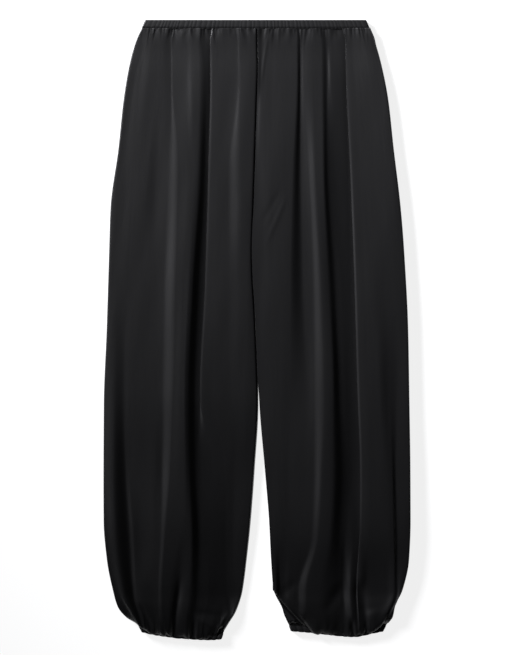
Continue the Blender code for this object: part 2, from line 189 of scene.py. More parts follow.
RIGHT_FOLDS = {
    "outer rim": ((-189, -205, -223, -236, -242, -242.5, -239, -224, -190),
                  (-0.3, -0.2, -0.1, -0.5, -0.7, -0.8, -1.2, -4.2, -0.8)),
    "rim crest": ((-178, -194, -211, -224, -229, -229, -225, -213, -184),
                  (0.0, -0.5, -0.2, -0.2, 0.4, 0.9, 1.2, 0.2, 0.0)),
    "rim foot": ((-174, -187, -200, -211, -213, -210, -204, -198, -180),
                 (0.2, -0.5, -0.1, 0.0, -1.4, -5.8, -7.2, -7.0, -0.5)),
    "outer flat": ((-170, -175, -187, -200, -204, -203, -197, -192, -174),
                   (0.1, -0.1, 0.0, 0.1, -1.1, -5.6, -6.4, -5.2, 0.0)),
    "first ridge": ((-160, -162, -176, -185, -190, -190, -188, -185, -166),
                    (-0.1, -0.2, 0.0, 0.2, -0.9, -5.3, -6.7, -4.6, 0.3)),
    "first hollow": ((-150, -150, -160, -166, -167, -164, -164, -167, -160),
                     (-0.2, -0.45, -0.6, 0.3, -0.3, -4.4, -5.0, -4.6, -0.6)),
    "main foot": ((-138.5, -138.2, -142, -149.5, -152, -153, -154.5, -159, -157),
                  (-0.7, -0.95, -0.2, 0.7, 0.1, -4.8, -4.6, -4.4, -0.3)),
    "main ridge": ((-136, -135.7, -126, -130, -134, -139, -146, -151, -150),
                   (-0.6, -0.85, 1.3, 3.6, 3.1, -1.6, -3.2, -3.2, 0.4)),
    "main flat": ((-112, -113, -110, -117, -122, -124, -126, -138, -142),
                  (-0.2, -0.25, 1.5, 4.0, 3.9, -0.5, -3.2, -4.2, 0.0)),
    "cuff hollow": ((-104, -103, -102, -110, -116, -115, -116, -126, -135),
                    (0.1, 0.4, 1.4, 4.0, 4.0, -0.2, -3.4, -6.2, -1.4)),
    "wall top": ((-95, -92, -93.5, -104, -110.5, -109, -105, -109, -119),
                 (0.3, 0.5, 0.9, 3.0, 2.5, -1.4, -3.8, -5.6, 0.2)),
    "wall foot": ((-84, -80, -82.5, -93, -99, -98, -94.5, -95, -107),
                  (-0.6, -1.2, -4.4, -4.0, -4.6, -8.0, -10.4, -10.6, -0.6)),
    "lip foot": ((-72, -71.5, -75, -81, -90.5, -90, -84, -83, -97),
                 (-1.8, -3.4, -6.8, -6.6, -6.2, -9.9, -12.2, -12.8, 0.0)),
    "lip": ((-75, -74.5, -77.5, -83, -91, -70, -76, -77, -92),
            (-0.6, -0.5, -0.4, -0.2, -3.2, -12.0, -13.6, -13.8, 0.2)),
    "lip flat": ((-58, -60, -62, -66, -70, -57, -60, -62, -80),
                 (-0.4, -0.5, -0.3, 0.0, -3.6, -12.8, -16.2, -17.2, 0.0)),
    "inner foot": ((-32, -31, -46, -46, -46, -45, -47, -46, -72),
                   (-0.2, -0.2, -0.3, 0.2, -3.6, -13.4, -18.2, -20.0, -2.0)),
    "inner ridge": ((-27, -26, -26, -24, -28, -30, -35, -37, -66),
                    (0.0, 0.0, 1.2, 0.9, -3.4, -14.0, -19.0, -20.8, -2.2)),
    "inner shoulder": ((-13, -13, -13, -15, -14, -19, -26, -33, -59),
                       (0.1, 0.1, 1.0, 0.8, -3.2, -14.0, -19.0, -21.0, -2.4)),
}

# %% Fold lines of the wearer's left leg
LEFT_FOLDS = {
    "outer rim": ((190, 203, 222, 236.5, 242, 243, 242, 231, 208),
                  (1.6, 2.6, 2.6, 0.9, -3.0, -5.2, -7.6, -10.8, -0.4)),
    "rim foot": ((180, 194, 212, 222, 226, 224, 226, 226, 203),
                 (1.5, 2.3, 2.3, 0.9, -3.4, -5.3, -7.4, -11.8, -0.8)),
    "rim crest": ((174, 186, 205, 211, 213, 217, 219, 221, 198),
                  (1.3, 1.9, 2.0, 0.8, -2.2, -2.9, -4.6, -10.8, 0.2)),
    "outer flat": ((166, 172, 184, 192, 197, 203, 207, 208, 190),
                   (0.8, 1.0, 1.0, 0.7, -0.1, -1.7, -4.0, -12.2, 0.0)),
    "lip flat": ((154, 158, 166, 174, 178, 182, 181, 178, 176),
                 (0.1, 0.2, 0.3, 0.2, -0.2, -1.4, -3.9, -11.8, -2.6)),
    "lip": ((143, 144, 150.5, 157.5, 162, 166, 165, 162.5, 167),
            (-0.2, -0.2, 0.0, -0.2, -0.5, -1.8, -4.2, -9.4, 0.3)),
    "lip foot": ((146, 147, 154, 160.5, 164.5, 168, 165.5, 160, 163),
                 (-1.2, -3.6, -8.6, -12.0, -11.6, -14.0, -12.6, -11.0, -0.6)),
    "low flat": ((134, 136, 145, 149, 152, 155, 153, 151, 156),
                 (-1.0, -2.3, -7.0, -10.2, -9.8, -12.2, -10.4, -8.8, 0.8)),
    "low ridge": ((119, 120, 126, 137, 142, 147, 143, 141, 146),
                  (-1.4, -2.0, -5.2, -8.4, -7.6, -10.4, -9.4, -12.8, -1.8)),
    "dark foot": ((113, 114, 115, 127, 133, 138, 134, 133, 135),
                  (-1.4, -2.6, -3.2, -7.0, -5.6, -7.6, -7.2, -10.6, -2.0)),
    "dark top": ((104, 105, 106.5, 115.5, 122, 122, 117, 104, 117),
                 (-0.5, -0.8, 0.0, -2.4, 0.0, 0.4, -0.4, -4.2, 0.0)),
    "main ridge": ((90, 91, 95, 104.5, 109, 105, 99.5, 80, 80),
                   (-0.5, -0.8, 0.0, -1.6, 0.7, 1.4, 0.2, -2.8, 0.5)),
    "main foot": ((76, 76, 83, 90, 92, 91, 87, 66, 70),
                  (-0.9, -1.4, -1.5, -3.7, -1.7, -0.8, -1.3, -6.8, -0.4)),
    "second foot": ((71, 71, 71.5, 75, 80, 74, 71, 59, 63),
                    (-1.1, -1.8, -2.2, -4.1, -2.3, -0.9, -1.2, -6.4, 0.0)),
    "second top": ((64, 64.5, 58, 54, 54, 53, 54, 52, 61),
                   (0.2, 0.2, 1.9, 0.7, -1.5, -0.9, -1.2, -6.2, 0.3)),
    "centre flat": ((44, 44, 43, 42, 40, 42, 46, 44, 59),
                    (0.0, 0.1, 2.0, 0.9, -1.2, -0.6, -1.1, -6.8, -0.4)),
    "centre hollow": ((22, 21, 22, 22, 26, 32, 37, 38, 57),
                      (-0.2, -0.3, 1.8, 0.6, -1.3, -0.4, -0.9, -6.6, 0.0)),
    "centre lip": ((9, 7.5, 4.0, 3.0, 9.0, 18.5, 26.0, 32, 54.5),
                   (-0.3, -0.4, 1.2, 0.1, -1.6, -0.4, -0.9, -3.4, 0.0)),
}
print(len(RIGHT_FOLDS), "fold lines on the right leg,", len(LEFT_FOLDS), "on the left")

# %% [markdown]
# ## How high the cloth stands
# Between the layers is air, and it makes the legs swell towards the hems, where far more cloth is caught
# than the elastic is long. The level is that of the flat stretches between the folds. It is about 10 mm
# under the waistband and 30 mm at the calf, and then it turns down steeply into the hem casing. At both
# edges of a leg the cloth rolls down to its seam within a few millimetres. The centre seam is sunk between
# the legs, and above the knee the left leg laps a little over the edge of the right one.

# %% Heights above the floor, in millimetres
LEVEL = ((13, 10.9), (20, 10.6), (30, 10.05), (44, 9.8), (89, 11.4), (239, 14.5), (429, 17.5),
         (600, 22.0), (730, 26.5), (830, 30.0), (900, 30.0), (930, 29.0), (948, 26.0), (962, 19.8),
         (968, 15.4), (972, 11.6))
FLOOR_CLEARANCE = 3.4                     # the lowest that a fold line lies
LOWEST_CLOTH = 2.4                        # the lowest that a small crease may press a front panel
SEAM_HEIGHT = 3.9
SEAM_LIFT = 0.30                          # of the centre seam, as a share of the level above the clearance
CROTCH_EASE = 30.0                        # length over which the sewn inner edge becomes a free one
# A rolled edge is a few pairs: how far in from the edge, and the share of the height from the seam up to
# the nearest fold line. The inner edge begins with its seam. 1 is the wearer's right leg, and -1 the left.
OUTER_ROLL = ((0.2, 0.55), (1.2, 0.97))
INNER_ROLL = {
    1: ((0.0, 0.0), (1.0, 0.66), (3.2, 0.955)),
    -1: ((1.2, 0.0), (0.6, 0.60), (0.0, 0.997), (0.03, 1.0), (0.6, 1.0)),
}
# Beside the centre seam the left leg's edge stands higher at the top and lower under it, by INNER_DIP.
INNER_DIP = {1: 0.0, -1: 0.45}
DIP_TURN = (95, 45)                       # drop where high turns into low, and the length of that turn
DIP_FADE = (150, 150)                     # drop where the dip starts to fade, and over what length
INNER_LAP = {1: 0.0, -1: 1.5}             # how far the upper part of the rolled edge laps over the other leg
LAP_STRETCH = (290, 60, 560, 60)          # where along the leg it does so, as plateau() takes it
LAP_FROM = 0.9                            # share of the roll's height above which its points lap over


def level(drops):
    """Height of the flat stretches at each drop, a smooth curve through LEVEL."""
    table = np.array(LEVEL)
    return smooth(table[:, 0], table[:, 1], drops)


print("level at the places:", np.round(level(list(PLACES.values())), 1), "mm")

# %% [markdown]
# ## A leg panel as a surface of two parameters
# One parameter runs across the cloth, the other down its length. At every drop the fold lines give the
# corners of the cross-section, and a cubic through them gives everything between. Both x and z are read
# from the same parameter, so the section may turn back under itself, which a height map could not do. A
# pressed fold is still a little round, so a lip or the main ridge is drawn with more than one point.

# %% The fold lines at every drop


def named_lines(outline, folds, drops):
    """x and height of every fold line at each drop, by name.

    Between the known places both follow the smooth curve. Beyond them a line keeps its share of the leg's
    width, and no line lies lower than FLOOR_CLEARANCE.
    """
    outer, inner = edges(outline, drops)
    rest = level(drops)
    places = np.array(list(PLACES.values()), float)
    known = np.clip(drops, places[0], places[-1])
    outer_known, inner_known = edges(outline, known)
    squeeze = (inner - outer) / (inner_known - outer_known)
    return {name: (outer + (smooth(places, where, known) - outer_known) * squeeze,
                   np.maximum(rest + smooth(places, rise, known), FLOOR_CLEARANCE))
            for name, (where, rise) in folds.items()}


# %% Rounded lips and ridges
# The lip of each leg: how far the round of its back reaches, and how deep its edge dips at both ends and
# along the middle of the leg.
LIP_ROUND = {1: (3.4, 0.30, 0.30), -1: (3.6, 0.30, 0.75)}
LIP_MIDDLE = (60, 300, 780, 80)           # the middle of the leg here, as plateau() takes it
LIP_STANDS = (0.5, 2.5)                   # over its foot: where a lip starts to count, and how much more
LIP_SHOULDER = (0.5, 0.85)                # step back from the edge, and share of the dip that is left there
RIDGE_STEP = 0.6                          # step from the main ridge to its second point


def rounded(name, lines, side, drops):
    """The points [(x, z), ...] that draw one fold line, in order from the outer to the inner edge.

    A lip has three: its edge, which dips, the shoulder close behind it, and the end of the round. Where it
    does not stand over its foot it has no dip, and the slope of the flat behind it carries on instead. The
    main ridge has a second point, a small step along the flat behind it. Other lines are one point.
    """
    x, z = lines[name]
    points = [(x, z)]
    if name == "lip":
        flat_x, flat_z = lines["lip flat"]
        reach, dip_above, dip_below = LIP_ROUND[side]
        step, left = LIP_SHOULDER
        dip = dip_above + (dip_below - dip_above) * plateau(drops, *LIP_MIDDLE)
        raised = ease(*LIP_STANDS, z - lines["lip foot"][1])
        slope = (flat_z - z) / (flat_x - x) * (1 - raised)
        points = [(x, z - dip * raised), (x + step, z - left * dip * raised + step * slope),
                  (x + reach, z + reach * slope)]
    elif name == "main ridge":
        flat_x, flat_z = lines.get("main flat", (x + 1, z))
        points = [(x, z), (x + RIDGE_STEP, z + RIDGE_STEP * (flat_z - z) / (flat_x - x))]
    return points if side > 0 else points[::-1]


# %% Cross-sections through the fold lines


def fold_lines(outline, folds, drops):
    """Arrays [line, row] of x and z: the outer seam and its roll, the folds, the inner roll and seam.

    A seam lies at SEAM_HEIGHT, and each point of a roll a share of the way up from it to the next fold
    line. Above the crotch the inner seam lies SEAM_LIFT of the way from FLOOR_CLEARANCE up to the level.
    """
    outer, inner = edges(outline, drops)
    side = int(np.sign(inner[0] - outer[0]))
    rest = level(drops)
    below = ease(CROTCH_DROP, CROTCH_EASE, drops)
    lines = named_lines(outline, folds, drops)
    middle = [point for name in folds for point in rounded(name, lines, side, drops)]
    first, last = middle[0][1], middle[-1][1]
    turned_in = (2 * ease(*DIP_TURN, drops) - 1) * (1 - ease(*DIP_FADE, drops))
    last = last - INNER_DIP[side] * turned_in
    seam = np.full_like(rest, SEAM_HEIGHT)
    centre = FLOOR_CLEARANCE + SEAM_LIFT * (rest - FLOOR_CLEARANCE)
    inner_seam = seam * below + np.minimum(centre, last) * (1 - below)
    lap = INNER_LAP[side] * plateau(drops, *LAP_STRETCH)
    tip, *inner_roll = INNER_ROLL[side]
    outer_side = [(outer + side * step, seam + share * (first - seam)) for step, share in OUTER_ROLL]
    inner_side = [(inner - side * (step - lap * (share > LAP_FROM)),
                   inner_seam + share * (last - inner_seam)) for step, share in inner_roll[::-1]]
    points = [(outer, seam), *outer_side, *middle, *inner_side,
              (inner - side * tip[0] * (1 - below), inner_seam)]
    return [np.array(part) for part in zip(*points)]


# %% Rows and columns of a panel
ROW_PITCH = 5.6
FINE_ROWS = 4000                          # steps in which the spacing of the rows is added up
CLOSER_ROWS = ((3.6, 45.0), (4.0, 48.0))  # how much closer at the waistband and at the hem, and how far in


def rows_between(first, last):
    """Drops of the rows: 2 mm apart under the waistband, 1.6 mm at the hem and 5.6 mm down the leg.

    The sum of 1 / spacing down to a drop is the number of its row, and that is read backwards.
    """
    fine = np.linspace(first, last, FINE_ROWS)
    (at_band, band_reach), (at_hem, hem_reach) = CLOSER_ROWS
    spacing = (ROW_PITCH - at_band * hump((fine - first) / band_reach)
               - at_hem * hump((fine - last) / hem_reach))
    count = np.cumsum(1 / spacing) * (fine[1] - fine[0])
    return np.interp(np.arange(0, count[-1]), count - count[0], fine)


def columns_between(knots, pitch, fewest):
    """The knots with columns added between them, a pitch apart and never fewer than the fewest."""
    spans = [np.linspace(start, stop, max(fewest, round((stop - start) / pitch)), endpoint=False)
             for start, stop in zip(knots[:-1], knots[1:])]
    return np.concatenate([*spans, knots[-1:]])


print("rows down a leg:", len(rows_between(RIGHT_OUTLINE[0][0], HEM_DROP)))

# %% [markdown]
# ## Gathers and small creases
# The elastic draws the cloth in, so dozens of short pleats spring from each casing and run out into the
# panel. They differ in depth, length, lean and spacing, which a seeded generator gives. Each is a trough
# that falls steeply on the side towards the wearer's right and climbs back slowly on the other, as pressed
# pleats do. A few single creases are placed one by one, and faint long waves keep the flats from being even.

# %% Pleats from a casing
PLEAT_JITTER = 0.34                       # of the spacing between two pleats
PLEAT_LEAN = 0.10                         # the most that chance tilts a pleat
PLEAT_FAN = 0.16                          # tilt away from the middle of the leg, at both ends of the span
STEEP_WIDTH = 1.1
SLOW_WIDTH = 9.5                          # times the pleat's depth
WIDEST_PLEAT = 7.0
PLEAT_SPREAD = 0.02                       # growth in width for each millimetre away from the casing


def pleats(x, away, span, count, seed, depth, length):
    """Sum of bell-shaped troughs. away is the distance from the casing, and span the x of its two ends.

    One trough: depth * exp(-((x - centre - lean * away) / width)^2) * exp(-(away / length)^2). Its width is
    STEEP_WIDTH towards the wearer's right. Towards the left it is SLOW_WIDTH times the depth, and at most
    WIDEST_PLEAT, so that the cloth climbs back at an even, slow angle. Both widths grow with the distance.
    """
    draw = np.random.default_rng(seed)
    places = (np.arange(count) + 0.5 + draw.uniform(-PLEAT_JITTER, PLEAT_JITTER, count)) / count
    total = np.zeros_like(x)
    for place in places:
        centre = span[0] + (span[1] - span[0]) * place
        fan = PLEAT_FAN * (2 * place - 1) * np.sign(span[1] - span[0])
        lean = draw.uniform(-PLEAT_LEAN, PLEAT_LEAN) + fan
        deep = draw.uniform(*depth)
        reach = draw.uniform(*length)
        beside = x - centre - lean * away
        width = np.where(beside < 0, STEEP_WIDTH, min(SLOW_WIDTH * deep, WIDEST_PLEAT))
        total -= deep * hump(beside / width / (1 + PLEAT_SPREAD * away)) * hump(away / reach)
    return total


# %% Single creases
CREASE_ENDS = (-0.25, 0.5, 0.75, 0.5)     # as plateau() takes them, in shares of the crease's length


def crease(x, drop, start, end, width, depth):
    """A soft trough from start to end, each (x, drop), or a ridge where the depth is negative.

    Its section is depth * exp(-(distance from the line / width)^2), and it fades out at both ends.
    """
    (x0, d0), (x1, d1) = start, end
    length = math.hypot(x1 - x0, d1 - d0)
    along = ((x - x0) * (x1 - x0) + (drop - d0) * (d1 - d0)) / length
    across = ((x - x0) * (d1 - d0) - (drop - d0) * (x1 - x0)) / length
    ends = plateau(along, *(share * length for share in CREASE_ENDS))
    return -depth * hump(across / width) * ends


# Each crease: start and end as (x, drop), width, depth.
RIGHT_CREASES = (
    ((-123, 905), (-136, 980), 3.6, 3.0), ((-92, 952), (-54, 962), 3.0, -1.7),
    ((-94, 944), (-56, 949), 3.4, 1.2), ((-74, 974), (-50, 950), 2.8, -0.9),
    ((-100, 955), (-108, 985), 3.5, 1.8), ((-46, 930), (-34, 962), 3.5, 1.2),
    ((-186, 940), (-170, 962), 4.0, 1.6),
)
LEFT_CREASES = (
    ((17, 32), (7, 100), 2.6, -0.25), ((45, 293), (20, 350), 3.2, -0.35),
    ((36, 280), (12, 322), 3.8, 0.28), ((62, 905), (44, 922), 7, 1.0),
    ((47, 929), (95, 982), 1.6, 1.3), ((141, 890), (147, 968), 4.0, -0.8),
    ((136, 912), (112, 945), 8, 1.6), ((153, 955), (155, 975), 4, 4.0),
    ((166, 908), (172, 952), 8, 2.6), ((186, 948), (185, 972), 8, -1.8),
    ((107, 968), (110, 984), 4, 3.0), ((128, 960), (124, 984), 3, 1.2),
)
print(len(RIGHT_CREASES), "single creases on the right leg,", len(LEFT_CREASES), "on the left")

# %% Faint long waves
UNEVENNESS = 0.06
WAVES = 5
WAVE_RATES = ((0.05, 0.16), (0.006, 0.02))  # radians for each millimetre, across and along the leg
PHASES = (0, 6.3)                         # a full turn, in radians


def undulation(x, drop, seed):
    """Sum of a few products of two sines, sin(a * x + b * drop + p) * sin(b * drop + q)."""
    draw = np.random.default_rng(seed)
    total = np.zeros_like(x)
    for _ in range(WAVES):
        across, along = (draw.uniform(*rates) for rates in WAVE_RATES)
        slanting = np.sin(across * x + along * drop + draw.uniform(*PHASES))
        total += slanting * np.sin(along * drop + draw.uniform(*PHASES))
    return total


# %% [markdown]
# ## The hems
# A hem slants, and the rows of the panel bend into that slant over the last stretch of the leg. The
# swollen cloth hangs a little over its casing, with an uneven, scalloped edge, and is tucked back under at
# the very end. On the left leg it also laps over the inner end of the casing, along a slanting edge with a
# dark groove below it. Both are made by moving points of the finished surface: down over the casing, or
# across the slanting edge.

# %% The slanting hem and its overhang
HEM_BULGE = (10.0, 15.0)                  # how far the cloth hangs over the casing, least and most
BULGE_MARKS = 31                          # places across the leg where chance sets that
BULGE_RISE = 0.2                          # share of the leg's width over which it grows, at the outer edge
BULGE_FALL = 0.12                         # share over which it fades, towards the inner edge
BULGE_UNTIL = 0.85                        # where across the leg it starts to fade
BULGE_UNTIL_LAP = 0.70                    # the same on a leg that laps over its casing
SWELL = (26, 24)                          # distance above the hem where it starts, and its length
TUCK = 3.0                                # how far the last rows turn back under
TUCK_LENGTH = 2.5                         # length above the hem in which they do


def across_leg(places, values, share):
    """The smooth curve through (places, values) at each point's share of the way across, kept in 0 to 1."""
    return smooth(places, values, np.clip(share, 0, 1).ravel()).reshape(share.shape)


def hem_slant(hem, share, drops):
    """Extra drop of each point: the slanting line of the hem, times a soft step over the last HEM_TURN."""
    return across_leg(*np.array(hem).T, share) * ease(HEM_DROP - HEM_TURN, HEM_TURN, drops)


def overhang(drops, share, seed, until):
    """How far the swollen hem hangs over its casing: full at the last rows, less the tuck."""
    draw = np.random.default_rng(seed)
    reach = across_leg(np.linspace(0, 1, BULGE_MARKS), draw.uniform(*HEM_BULGE, BULGE_MARKS), share)
    inside = plateau(share, 0.0, BULGE_RISE, until, BULGE_FALL)
    start, length = SWELL
    swollen = reach * ease(HEM_DROP - start, length, drops)
    return inside * (swollen - TUCK * ease(HEM_DROP - TUCK_LENGTH, TUCK_LENGTH, drops))


# %% The lap over the left casing
# (x, drop) of both ends of the slanting edge, and the height of the cloth under it at its upper end.
LEFT_OVERLAP = ((41, 930), (90, 984), 13.0)
LAP_SETS_IN = 25                          # length above the upper end over which the lap sets in
UNDER_RISE = 0.14                         # rise of the cloth under the lap for each millimetre of x
GROOVE = (5.5, 5.4, 2.4)                  # depth, distance past the edge and width of the dark groove
LAP_STEP = (0.5, 2.0)                     # where the step down starts past the edge, and how long it is
LAP_PULL = 4.0                            # how far the cloth is pulled over that step
PULL_STRETCH = (-14, 13, 0.6, 2.0)        # which cloth is pulled, by its distance past the edge


def lapped(x, drop, z, overlap):
    """The points with the cloth before a slanting edge lapping over the cloth past it.

    Past the edge z sinks to base + UNDER_RISE * (x - x0) less the groove, a bell curve. Before it the
    points are pulled across, at right angles to the edge.
    """
    (x0, d0), (x1, d1), base = overlap
    run = math.hypot(x1 - x0, d1 - d0)
    past = ((x1 - x0) * (drop - d0) - (d1 - d0) * (x - x0)) / run
    here = ease(d0 - LAP_SETS_IN, LAP_SETS_IN, drop)
    deep, middle, width = GROOVE
    under = base + UNDER_RISE * (x - x0) - deep * hump((past - middle) / width)
    sunk = z + (np.minimum(z, under) - z) * ease(*LAP_STEP, past) * here
    pulled = LAP_PULL * plateau(past, *PULL_STRETCH) * here
    return x - pulled * (d1 - d0) / run, drop + pulled * (x1 - x0) / run, sunk


# %% [markdown]
# ## The front panels
# A front panel puts all of this together: the long folds first, then the gathers at both casings, the
# single creases and the faint waves, which leave the seams alone, and last the hem. The cloth keeps its
# grid of rows and columns throughout, so it stays one clean sheet.

# %% The front panel of one leg
COLUMN_PITCH = 1.5
FEWEST_COLUMNS = 4                        # between two fold lines
GATHERS = {"count": 36, "depth": (0.15, 0.95), "length": (5, 18)}
HEM_GATHERS = {"count": 19, "depth": (0.6, 1.9), "length": (6, 18)}
CALM_EDGE = (0.0, 0.05, 0.95, 0.05)       # shares of the width that keep the small folds off the seams


def front_panel(outline, folds, hem, creases, seed, overlap=None):
    """Grid [column, row, xyz] of the outer face of a front panel, in millimetres, y as minus the drop.

    The columns are spaced evenly along the cross-section at the thigh.
    """
    drops = rows_between(outline[0][0], HEM_DROP)
    lines_x, lines_z = fold_lines(outline, folds, drops)
    thigh = int(np.searchsorted(drops, PLACES["thigh"]))
    steps = np.hypot(np.diff(lines_x[:, thigh]), np.diff(lines_z[:, thigh]))
    knots = np.concatenate([[0.0], np.cumsum(steps)])
    columns = columns_between(knots, COLUMN_PITCH, FEWEST_COLUMNS)
    x = smooth(knots, lines_x, columns)
    z = smooth(knots, lines_z, columns)
    outer, inner = edges(outline, drops)
    share = (x - outer) / (inner - outer)
    drop = np.broadcast_to(drops, x.shape)
    waist = pleats(x, drop - BAND_DEPTH, (outer[0], inner[0]), seed=seed, **GATHERS)
    cuff = pleats(x, HEM_DROP - drop, (outer[-1], inner[-1]), seed=seed + 1, **HEM_GATHERS)
    small = sum(crease(x, drop, *each) for each in creases)
    relief = waist + cuff + small + UNEVENNESS * undulation(x, drop, seed + 2)
    z = np.maximum(z + plateau(share, *CALM_EDGE) * relief, LOWEST_CLOTH)
    until = BULGE_UNTIL_LAP if overlap else BULGE_UNTIL
    drop = drop + hem_slant(hem, share, drops) + overhang(drops, share, seed + 3, until)
    if overlap:
        x, drop, z = lapped(x, drop, z, overlap)
    return np.stack([x, -drop, z], axis=-1)


right_front_grid = front_panel(RIGHT_OUTLINE, RIGHT_FOLDS, RIGHT_HEM, RIGHT_CREASES, seed=11)
left_front_grid = front_panel(LEFT_OUTLINE, LEFT_FOLDS, LEFT_HEM, LEFT_CREASES, 23, LEFT_OVERLAP)
print("front panels, columns and rows:", right_front_grid.shape[:2], left_front_grid.shape[:2])

# %% [markdown]
# ## The back panels
# Nobody sees them while the trousers lie on their back, so they are plain: flat where they rest, turned up
# at both sides to meet the front panel, and lightly gathered at the two casings.

# %% The back panel of one leg
BACK_RIM = SEAM_HEIGHT + 0.5              # its turned-up edges stand a little over the front panel's seam
BACK_ROLL = ((0.6, 1.0), (0.9, 0.5), (1.8, 0.12), (3.4, 0.0))  # in from the edge, share of the rim
ROLL_AT_CENTRE = 0.3                      # share of the roll's width that is left beside the centre seam
BACK_SHARES = np.linspace(0.03, 0.97, 48)  # columns between the rolled edges, in shares of the width
BACK_CALM_EDGE = (0.0, 0.06, 0.94, 0.06)  # as CALM_EDGE
BACK_GATHERS = {"count": 18, "depth": (0.8, 1.8), "length": (14, 50)}
BACK_HEM_GATHERS = {"count": 15, "depth": (0.9, 2.0), "length": (14, 40)}


def back_panel(outline, hem, seed):
    """Grid [column, row, xyz] of the outer face of a back panel: height 0, with a rolled edge at each side.

    The gathers only lift it, because it rests on the floor.
    """
    drops = rows_between(outline[0][0], HEM_DROP)
    outer, inner = edges(outline, drops)
    towards = np.sign(inner[0] - outer[0])
    below = ease(CROTCH_DROP, CROTCH_EASE, drops)
    narrowed = ROLL_AT_CENTRE + (1 - ROLL_AT_CENTRE) * below
    outer_side = [(outer + towards * step, BACK_RIM * rise + 0 * drops) for step, rise in BACK_ROLL]
    flat = [(outer + (inner - outer) * part, 0 * drops) for part in BACK_SHARES]
    inner_side = [(inner - towards * step * narrowed, BACK_RIM * rise * below)
                  for step, rise in BACK_ROLL[::-1]]
    x, z = (np.array(part) for part in zip(*outer_side, *flat, *inner_side))
    share = (x - outer) / (inner - outer)
    drop = np.broadcast_to(drops, x.shape)
    waist = pleats(x, drop - BAND_DEPTH, (outer[0], inner[0]), seed=seed, **BACK_GATHERS)
    cuff = pleats(x, HEM_DROP - drop, (outer[-1], inner[-1]), seed=seed + 1, **BACK_HEM_GATHERS)
    z = z + np.maximum(-(waist + cuff), 0.0) * plateau(share, *BACK_CALM_EDGE)
    return np.stack([x, -(drop + hem_slant(hem, share, drops)), z], axis=-1)


right_back_grid = back_panel(RIGHT_OUTLINE, RIGHT_HEM, seed=31)
left_back_grid = back_panel(LEFT_OUTLINE, LEFT_HEM, seed=41)
print("back panels, columns and rows:", right_back_grid.shape[:2], left_back_grid.shape[:2])

# %% [markdown]
# ## The elastic casings
# A casing is a strip of the same cloth folded over a flat elastic and stitched down. Relaxed, the elastic
# ruffles the strip into small, tight puckers. Its shape is a wall with rounded edges, carried round a
# flattened loop: one parameter goes round the loop, the other round the wall's own section, and both
# close on themselves. The puckers push the wall out and scallop its edges, and the stitch line near one
# edge pulls it in to a groove.

# %% Puckers
PACE_JITTER = 0.38                        # how unevenly the puckers follow each other
PUCKER_SIZES = (0.55, 1.0)
PUCKER_POWER = 0.8                        # under 1, so the backs are round and the troughs sharp


def pucker_wave(length, count, seed):
    """Height of the puckers along the loop: size * |sin(angle)|^0.8 of an unevenly paced angle."""
    draw = np.random.default_rng(seed)
    pace = 1 + PACE_JITTER * draw.uniform(-1, 1, count)
    marks = np.concatenate([[0.0], np.cumsum(pace)]) / pace.sum()
    size = draw.uniform(*PUCKER_SIZES, count)
    phase = np.interp(length, marks, np.arange(count + 1))
    which = np.minimum(phase.astype(int), count - 1)
    return size[which] * np.abs(np.sin(math.pi * phase)) ** PUCKER_POWER


# %% A ruched casing
CASING_WALL = 2.4
WALL_POINTS = 28                          # round the wall's own section
TURN_POWER = 0.4                          # squares the two turns of the flattened loop
CORNER_POWER = 0.45                       # squares the wall's section
STITCH_WIDTH = 0.07                       # share of the casing's depth
STITCH_HOLD = 0.6                         # share of a pucker that the stitches hold down
STITCH_DEPTH = 1.0
STITCH_GIVE = 0.35                        # how much less deep the groove is on top of a pucker
SCALLOP = 0.9                             # of the lower edge, as a share of the puckers' height
TOP_SCALLOP = 0.5                         # of the upper edge, as a share of the lower one's
LOWER_EDGE = (0.7, 0.3)                   # shares of the depth where the lower edge starts, and its length
UPPER_EDGE = (0.0, 0.2)


def squared(wave, power):
    """A sine or cosine raised to a power with its sign kept, which squares a circle off."""
    return np.sign(wave) * np.abs(wave) ** power


